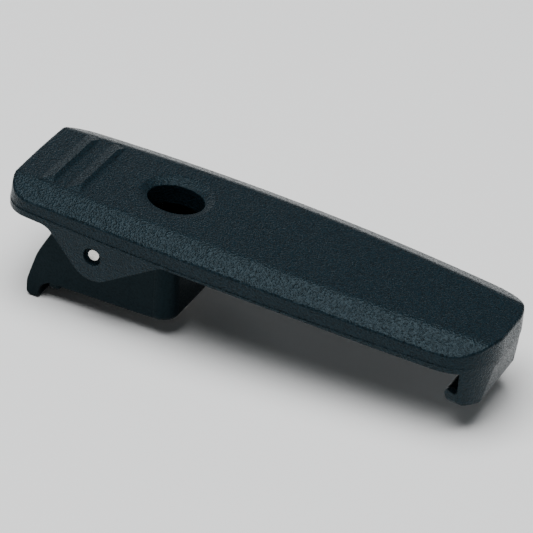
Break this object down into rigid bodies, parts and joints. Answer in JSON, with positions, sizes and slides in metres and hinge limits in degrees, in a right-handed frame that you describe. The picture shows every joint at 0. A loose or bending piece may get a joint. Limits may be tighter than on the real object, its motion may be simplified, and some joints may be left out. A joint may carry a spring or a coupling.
{
  "type": "spring belt clip",
  "caption": "Spring-loaded belt clip: hinged moulded arm with ribbed thumb end and hooked toe on a screw-on base.",
  "frame": {"origin": "on the fixing screw's axis, in the base's flat mounting face", "axes": "+X along the arm to the toe, +Y across, +Z away from the radio"},
  "size_m": [0.0858, 0.0264, 0.0216],
  "materials": {
    "arm_plastic": "black moulded, spark-eroded grain",
    "base_plastic": "black moulded, fine matt",
    "pin_steel": "turned",
    "spring_steel": "drawn wire",
    "screw_steel": "black zinc",
    "washer_steel": "zinc plated",
    "washer_nylon": "natural nylon"
  },
  "bodies": {
    "base": {"base_body": "base_plastic", "hinge_pin": "pin_steel", "spring_left": "spring_steel", "spring_right": "spring_steel", "fixing_screw": "screw_steel", "lock_washer": "washer_steel", "flat_washer": "washer_steel", "retaining_washer": "washer_nylon"},
    "arm": {"clip_arm": "arm_plastic"}
  },
  "joints": [
    {"name": "arm_hinge", "type": "hinge", "parent": "base", "child": "arm", "pos_m": [-0.0082, 0, 0.0097], "axis": [0, -1, 0], "range_deg": [0, 24], "stiffness_Nm_per_rad": 0.5, "springref_deg": -5.73, "deforming": ["spring_left", "spring_right"]}
  ]
}
